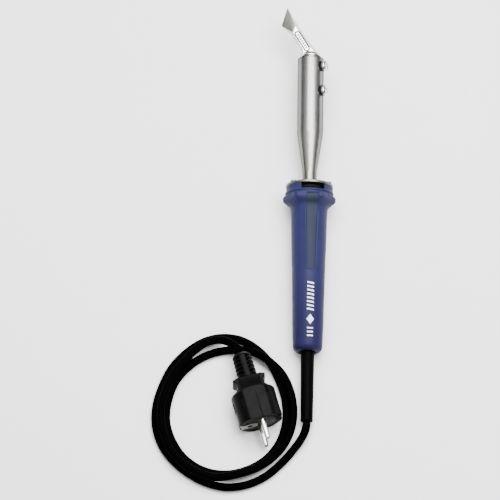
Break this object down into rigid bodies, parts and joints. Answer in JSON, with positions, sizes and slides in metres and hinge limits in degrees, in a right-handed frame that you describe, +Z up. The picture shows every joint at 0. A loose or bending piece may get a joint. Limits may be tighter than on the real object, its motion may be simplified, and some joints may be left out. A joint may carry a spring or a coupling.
{
  "type": "soldering iron",
  "caption": "Mains soldering iron with an angled wedge bit held in a steel barrel by side screws, a heat shield, a tapered handle, and a cord with a round earthed plug.",
  "frame": {"origin": "middle of the footprint of the iron without its free cord, at table height", "axes": "+Y towards the bit, along the length of the iron as it lies; +X to the right of the iron seen from above with the bit pointing away; +Z up"},
  "size_m": [0.1553, 0.4296, 0.0419],
  "materials": {
    "plated_bit": "bright plated copper with a duller working facet",
    "barrel_steel": "satin stainless tube, lightly heat tinted",
    "inner_steel": "plain turned steel",
    "zinc_screws": "bright zinc plate",
    "black_washers": "black oxide spring steel",
    "mica": "pale mica sheet",
    "nichrome": "oxidised resistance wire",
    "ceramic": "unglazed off-white ceramic",
    "phenolic": "brown phenolic",
    "handle_blue": "navy moulded plastic, satin",
    "black_rubber": "soft black rubber",
    "plug_plastic": "charcoal moulded plastic",
    "nickel": "bright nickel plate",
    "wire_brown": "brown insulation",
    "wire_blue": "blue insulation",
    "wire_earth": "green and yellow insulation",
    "glass_fibre": "woven glass-fibre sleeving"
  },
  "bodies": {
    "iron": {"barrel_tube": "barrel_steel", "heater_core": "inner_steel", "mica_inner_sleeve": "mica", "mica_outer_sleeve": "mica", "heating_coil": "nichrome", "ceramic_end_bush": "ceramic", "front_clamp_washer": "black_washers", "rear_clamp_washer": "black_washers", "heat_shield_disc": "barrel_steel", "shield_screw_1": "zinc_screws", "shield_screw_2": "zinc_screws", "shield_screw_3": "zinc_screws", "neck_flange": "inner_steel", "earth_ring": "zinc_screws", "front_insulator": "phenolic", "handle": "handle_blue", "terminal_block": "ceramic", "terminal_screw_brown": "nickel", "terminal_screw_earth": "nickel", "terminal_screw_blue": "nickel", "element_lead_left": "glass_fibre", "element_lead_right": "glass_fibre", "earth_lead": "wire_earth", "conductor_brown": "wire_brown", "conductor_blue": "wire_blue", "conductor_earth": "wire_earth", "cord_clamp_upper": "phenolic", "cord_clamp_lower": "phenolic", "cord_clamp_screw_1": "zinc_screws", "cord_clamp_screw_2": "zinc_screws", "bend_relief_sleeve": "black_rubber", "cord_in_handle": "black_rubber", "mains_cord": "black_rubber", "plug_body": "plug_plastic", "plug_strain_relief": "plug_plastic", "plug_pin_carrier": "plug_plastic", "plug_pin_upper": "nickel", "plug_pin_lower": "nickel", "earth_contact_left": "nickel", "earth_contact_right": "nickel"},
    "bit": {"soldering_bit": "plated_bit"},
    "front_screw": {"front_clamp_screw": "zinc_screws"},
    "rear_screw": {"rear_clamp_screw": "zinc_screws"}
  },
  "joints": [
    {"name": "bit_slide", "type": "slide", "parent": "iron", "child": "bit", "axis": [0, 0.9978, 0.0665], "range_m": [0, 0.04]},
    {"name": "front_screw_turn", "type": "hinge", "parent": "iron", "child": "front_screw", "pos_m": [0.01096, 0.13072, 0.03483], "axis": [0.866, -0.0332, 0.4989], "range_deg": [0, 360]},
    {"name": "rear_screw_turn", "type": "hinge", "parent": "iron", "child": "rear_screw", "pos_m": [0.01096, 0.10877, 0.03336], "axis": [0.866, -0.0332, 0.4989], "range_deg": [0, 360]}
  ]
}
